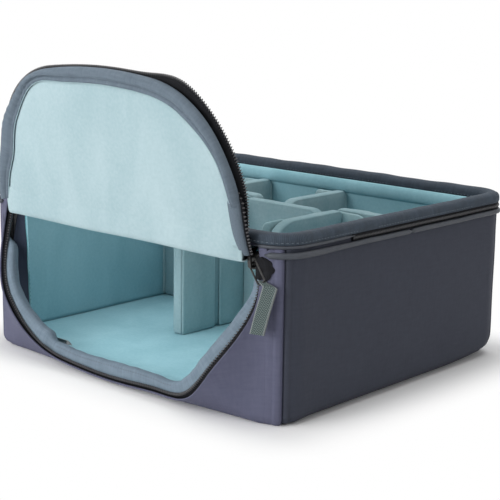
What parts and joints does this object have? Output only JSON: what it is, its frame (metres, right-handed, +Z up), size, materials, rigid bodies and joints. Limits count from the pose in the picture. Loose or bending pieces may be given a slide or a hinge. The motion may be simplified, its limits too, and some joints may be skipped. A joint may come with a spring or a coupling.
{
  "type": "camera bag insert",
  "caption": "Padded open-topped box insert with an arched zip door in one long wall and lift-out padded dividers.",
  "frame": {"origin": "middle of the flat base, on the surface it rests on", "axes": "+X along the door wall, -Y out through the door wall, +Z up"},
  "size_m": [0.307, 0.2844, 0.2218],
  "materials": {
    "front_cloth": "woven, matt",
    "side_cloth": "woven, matt",
    "foam": "closed-cell foam",
    "teal_lining": "brushed, matt",
    "door_lining": "brushed, matt",
    "rim_cloth": "ribbed, matt",
    "binding": "folded tape, matt",
    "facing": "smooth cloth",
    "zip_tape": "woven tape with nylon coil",
    "piping": "covered cord",
    "gunmetal": "dark plated metal, semi-gloss",
    "ribbon": "herringbone ribbon",
    "divider_cloth": "brushed, matt",
    "wing_cloth": "brushed, matt"
  },
  "bodies": {
    "box": {"front_panel": "front_cloth", "rear_panel": "front_cloth", "gusset_wrap": "side_cloth", "foam_front": "foam", "foam_rear": "foam", "foam_left": "foam", "foam_right": "foam", "foam_base": "foam", "lining_front": "teal_lining", "lining_rear": "teal_lining", "lining_left": "teal_lining", "lining_right": "teal_lining", "lining_base": "teal_lining", "rim_band": "rim_cloth", "rim_zip_half": "zip_tape", "rim_piping": "piping", "mouth_binding": "binding", "mouth_facing": "facing", "mouth_zip_half": "zip_tape", "door_hinge_roll": "binding"},
    "door": {"door_skin": "front_cloth", "door_foam": "foam", "door_lining": "door_lining", "door_binding": "binding", "door_zip_half": "zip_tape"},
    "slider": {"slider_body": "gunmetal"},
    "pull": {"slider_pull": "gunmetal"},
    "tab": {"pull_tab": "ribbon"},
    "bay_back": {"bay_back_cover": "divider_cloth", "bay_back_core": "foam", "bay_back_wing_a": "wing_cloth", "bay_back_wing_b": "wing_cloth"},
    "bay_right": {"bay_right_cover": "divider_cloth", "bay_right_core": "foam", "bay_right_wing_a": "wing_cloth", "bay_right_wing_b": "wing_cloth"},
    "bay_left": {"bay_left_cover": "divider_cloth", "bay_left_core": "foam", "bay_left_wing_a": "wing_cloth", "bay_left_wing_b": "wing_cloth"},
    "row_right": {"row_right_cover": "divider_cloth", "row_right_core": "foam", "row_right_wing_a": "wing_cloth", "row_right_wing_b": "wing_cloth"},
    "row_left": {"row_left_cover": "divider_cloth", "row_left_core": "foam", "row_left_wing_a": "wing_cloth", "row_left_wing_b": "wing_cloth"},
    "rear_right": {"rear_right_cover": "divider_cloth", "rear_right_core": "foam", "rear_right_wing_a": "wing_cloth", "rear_right_wing_b": "wing_cloth"},
    "rear_left": {"rear_left_cover": "divider_cloth", "rear_left_core": "foam", "rear_left_wing_a": "wing_cloth", "rear_left_wing_b": "wing_cloth"}
  },
  "joints": [
    {"name": "door_hinge", "type": "hinge", "parent": "box", "child": "door", "pos_m": [0, -0.12945, 0.117], "axis": [1, 0, 0], "range_deg": [-5, 172]},
    {"name": "slider_travel", "type": "hinge", "parent": "box", "child": "slider", "pos_m": [0.0396, -0.1259, 0.09977], "axis": [0, -1, 0], "range_deg": [-50, 0]},
    {"name": "pull_hinge", "type": "hinge", "parent": "slider", "child": "pull", "pos_m": [0.12405, -0.1299, 0.10639], "axis": [-0.8192, 0, -0.5736], "range_deg": [0, 95]},
    {"name": "tab_hinge", "type": "hinge", "parent": "pull", "child": "tab", "pos_m": [0.13237, -0.1299, 0.09452], "axis": [-0.8192, 0, -0.5736], "range_deg": [0, 110]},
    {"name": "bay_back_lift", "type": "slide", "parent": "box", "child": "bay_back", "axis": [0, 0, 1], "range_m": [0, 0.12]},
    {"name": "bay_right_lift", "type": "slide", "parent": "box", "child": "bay_right", "axis": [0, 0, 1], "range_m": [0, 0.12]},
    {"name": "bay_left_lift", "type": "slide", "parent": "box", "child": "bay_left", "axis": [0, 0, 1], "range_m": [0, 0.12]},
    {"name": "row_right_lift", "type": "slide", "parent": "box", "child": "row_right", "axis": [0, 0, 1], "range_m": [0, 0.12]},
    {"name": "row_left_lift", "type": "slide", "parent": "box", "child": "row_left", "axis": [0, 0, 1], "range_m": [0, 0.12]},
    {"name": "rear_right_lift", "type": "slide", "parent": "box", "child": "rear_right", "axis": [0, 0, 1], "range_m": [0, 0.12]},
    {"name": "rear_left_lift", "type": "slide", "parent": "box", "child": "rear_left", "axis": [0, 0, 1], "range_m": [0, 0.12]}
  ]
}
